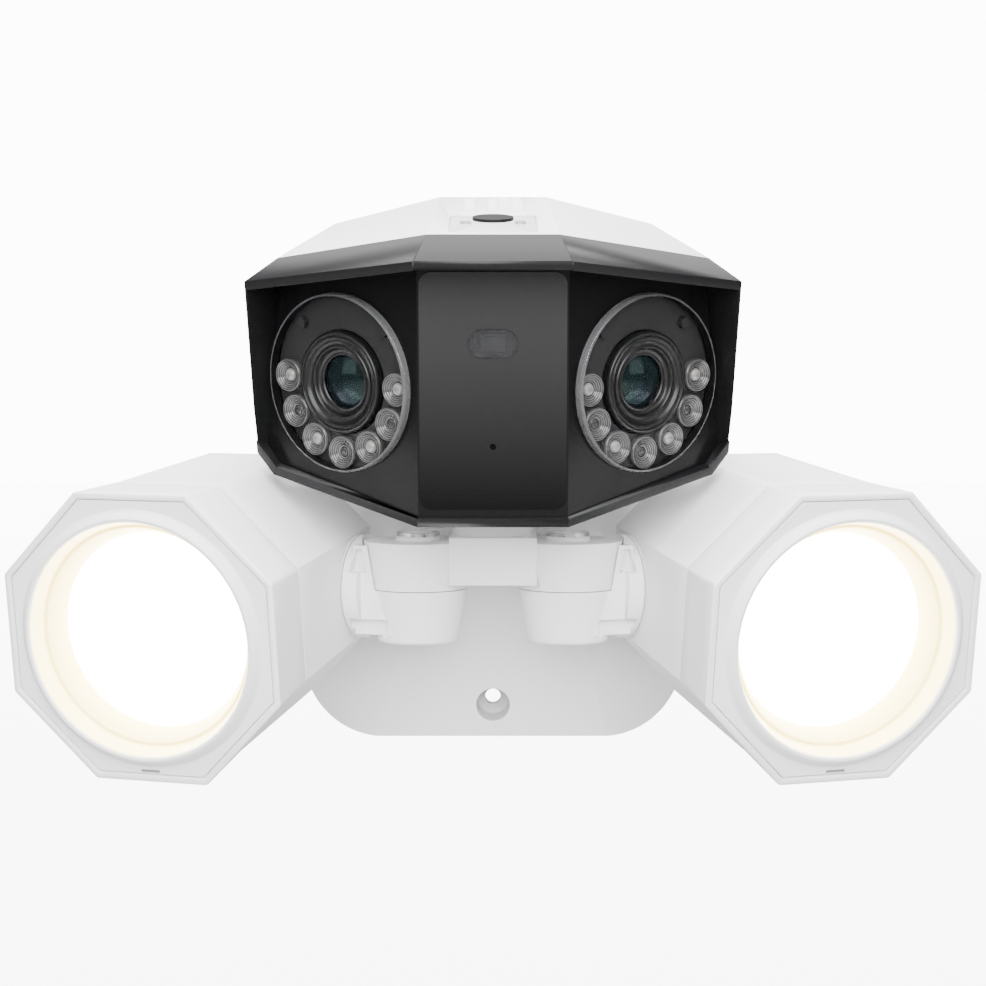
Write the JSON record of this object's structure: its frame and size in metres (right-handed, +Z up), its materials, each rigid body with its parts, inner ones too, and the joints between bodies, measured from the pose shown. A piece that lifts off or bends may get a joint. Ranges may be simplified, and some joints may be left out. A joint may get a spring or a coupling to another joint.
{
  "type": "floodlight security camera",
  "caption": "Wall-mounted security camera with a tilting hooded lens head above a pair of aimable octagonal floodlights on a square base.",
  "frame": {"origin": "centre of the base's back face, on the wall", "axes": "+Z up, -Y out of the wall towards the viewer, +X to the viewer's right"},
  "size_m": [0.3256, 0.1495, 0.197],
  "materials": {
    "white_housing": "fine moulded texture",
    "pale_cover": "satin",
    "white_ring": "smooth",
    "grey_plastic": "fine",
    "black_hood": "fine moulded texture",
    "black_gloss": "polished",
    "black_matte": "satin",
    "clear_window": "clear",
    "lens_coating": "coated",
    "infrared_lens": "moulded",
    "circuit_board": "solder mask",
    "terminal_plastic": "moulded",
    "seal_rubber": "soft",
    "lit_diffuser": "opal",
    "cast_aluminium": "cast",
    "reflector": "white",
    "steel": "plated"
  },
  "bodies": {
    "base": {"base_back_cover": "grey_plastic", "base_housing": "white_housing", "cable_gland": "seal_rubber", "head_tilt_bolt": "steel", "neck": "white_housing", "power_board": "circuit_board", "terminal_block": "terminal_plastic"},
    "head": {"bracket_screws": "steel", "centre_plate": "black_gloss", "front_bezel": "black_hood", "front_panel": "black_gloss", "head_bracket": "cast_aluminium", "ir_board_left": "circuit_board", "ir_board_right": "circuit_board", "ir_lenses_left": "infrared_lens", "ir_lenses_right": "infrared_lens", "lens_barrel_left": "black_matte", "lens_barrel_right": "black_matte", "lens_carrier_left": "black_matte", "lens_carrier_right": "black_matte", "lens_glass_left": "lens_coating", "lens_glass_right": "lens_coating", "lens_window_left": "clear_window", "lens_window_right": "clear_window", "light_sensor": "circuit_board", "main_board": "circuit_board", "microphone": "black_matte", "plug_disc": "black_matte", "rear_housing": "white_housing", "sensor_board_left": "circuit_board", "sensor_board_right": "circuit_board", "sensor_window": "clear_window", "service_cover": "pale_cover", "service_screws": "steel", "speaker": "black_matte"},
    "arm_left": {"arm_left": "white_housing", "knuckle_bolt_left": "steel", "tilt_bolt_left": "steel"},
    "arm_right": {"arm_right": "white_housing", "knuckle_bolt_right": "steel", "tilt_bolt_right": "steel"},
    "lamp_left": {"lamp_bezel_left": "white_ring", "lamp_diffuser_left": "lit_diffuser", "lamp_frame_left": "white_housing", "lamp_gasket_left": "seal_rubber", "lamp_housing_left": "white_housing", "lamp_reflector_left": "reflector", "lamp_screws_left": "steel", "lamp_sink_left": "cast_aluminium", "led_board_left": "circuit_board"},
    "lamp_right": {"lamp_bezel_right": "white_ring", "lamp_diffuser_right": "lit_diffuser", "lamp_frame_right": "white_housing", "lamp_gasket_right": "seal_rubber", "lamp_housing_right": "white_housing", "lamp_reflector_right": "reflector", "lamp_screws_right": "steel", "lamp_sink_right": "cast_aluminium", "led_board_right": "circuit_board"}
  },
  "joints": [
    {"name": "head_tilt", "type": "hinge", "parent": "base", "child": "head", "pos_m": [0, -0.066, 0.0234], "axis": [1, 0, 0], "range_deg": [-3, 6]},
    {"name": "lamp_turn_left", "type": "hinge", "parent": "base", "child": "arm_left", "pos_m": [-0.026, -0.0707, -0.0101], "axis": [0, 0, 1], "range_deg": [-3, 8]},
    {"name": "lamp_tilt_left", "type": "hinge", "parent": "arm_left", "child": "lamp_left", "pos_m": [-0.08898, -0.04815, -0.0101], "axis": [0.9415, -0.3371, 0], "range_deg": [-3, 14]},
    {"name": "lamp_turn_right", "type": "hinge", "parent": "base", "child": "arm_right", "pos_m": [0.026, -0.0707, -0.0101], "axis": [0, 0, 1], "range_deg": [-8, 3]},
    {"name": "lamp_tilt_right", "type": "hinge", "parent": "arm_right", "child": "lamp_right", "pos_m": [0.08898, -0.04815, -0.0101], "axis": [0.9415, 0.3371, 0], "range_deg": [-3, 14]}
  ]
}
